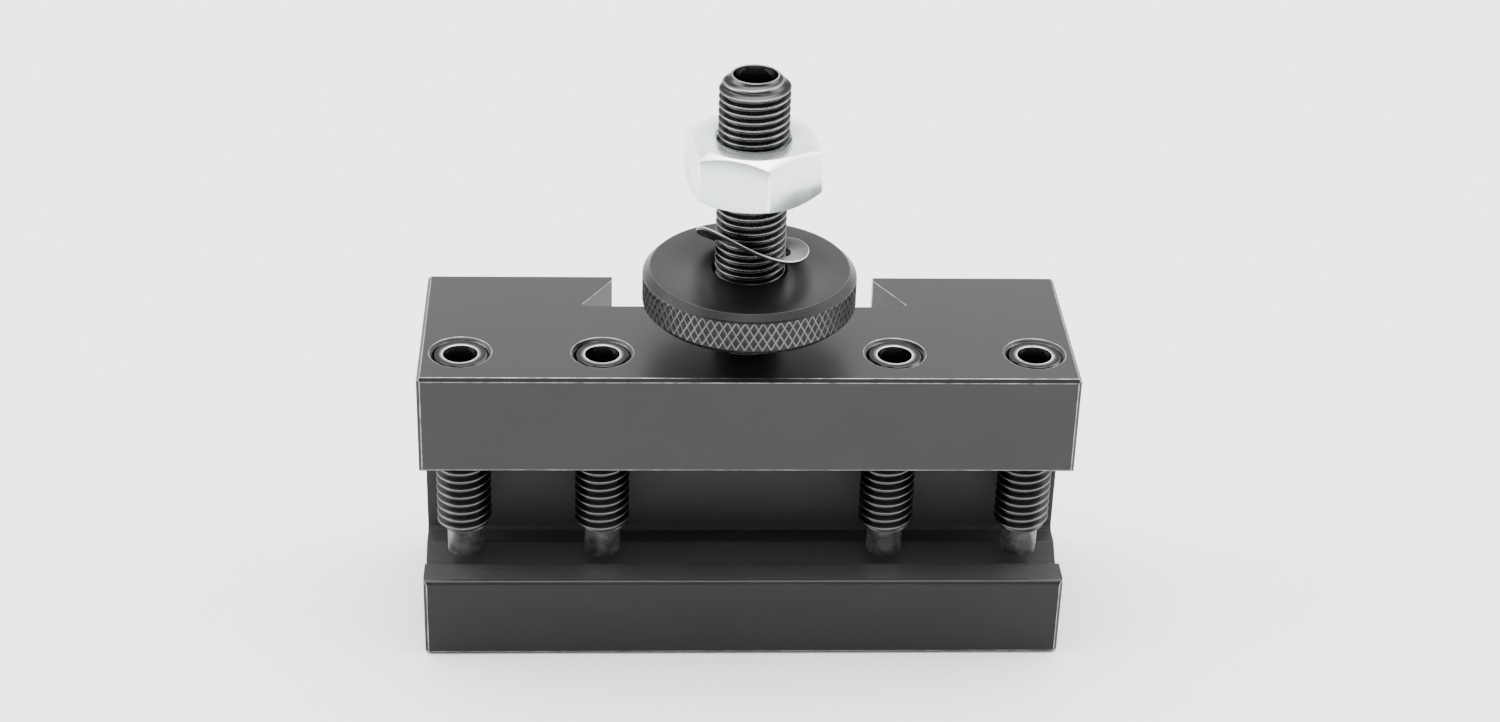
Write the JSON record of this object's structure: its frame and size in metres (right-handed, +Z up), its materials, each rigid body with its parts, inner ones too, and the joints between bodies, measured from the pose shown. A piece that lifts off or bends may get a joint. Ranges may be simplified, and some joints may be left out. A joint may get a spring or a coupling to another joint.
{
  "type": "quick change tool holder",
  "caption": "Black steel lathe tool holder with a V-grooved tool slot, dog-point clamp screws, rear dovetail socket and a knurled height wheel with lock nut.",
  "frame": {"origin": "middle of the block's bottom face", "axes": "+X along the block and the tool, +Y towards the dovetail side, +Z up along the stud and the clamp screws"},
  "size_m": [0.075, 0.0277, 0.0706],
  "materials": {
    "body_black_oxide": "ground steel, black oxide, satin",
    "screw_black_oxide": "black oxide with an oil film",
    "wheel_black_oxide": "turned and knurled steel, black oxide",
    "washer_spring_steel": "dark spring steel",
    "nut_zinc": "bright zinc plate"
  },
  "bodies": {
    "holder": {"holder_body": "body_black_oxide", "height_stud": "screw_black_oxide"},
    "screw_1": {"clamp_screw_1": "screw_black_oxide"},
    "screw_2": {"clamp_screw_2": "screw_black_oxide"},
    "screw_3": {"clamp_screw_3": "screw_black_oxide"},
    "screw_4": {"clamp_screw_4": "screw_black_oxide"},
    "washer": {"spring_washer": "washer_spring_steel"},
    "wheel": {"height_wheel": "wheel_black_oxide"},
    "nut": {"lock_nut": "nut_zinc"}
  },
  "joints": [
    {"name": "screw_1_feed", "type": "slide", "parent": "holder", "child": "screw_1", "axis": [0, 0, 1], "range_m": [-0.0004, 0.0145]},
    {"name": "screw_2_feed", "type": "slide", "parent": "holder", "child": "screw_2", "axis": [0, 0, 1], "range_m": [-0.0004, 0.0145]},
    {"name": "screw_3_feed", "type": "slide", "parent": "holder", "child": "screw_3", "axis": [0, 0, 1], "range_m": [-0.0004, 0.0145]},
    {"name": "screw_4_feed", "type": "slide", "parent": "holder", "child": "screw_4", "axis": [0, 0, 1], "range_m": [-0.0004, 0.0145]},
    {"name": "washer_rise", "type": "slide", "parent": "holder", "child": "washer", "axis": [0, 0, 1], "range_m": [-0.0042, 0.0035]},
    {"name": "wheel_turn", "type": "hinge", "parent": "washer", "child": "wheel", "pos_m": [0, -0.003, 0.0444], "axis": [0, 0, 1], "range_deg": [-1681, 1401]},
    {"name": "nut_travel", "type": "slide", "parent": "holder", "child": "nut", "axis": [0, 0, 1], "range_m": [-0.0035, 0.007]}
  ],
  "couplings": [
    {"joint": "wheel_turn", "follows": "washer_rise", "rad_per_m": 6981.3}
  ]
}
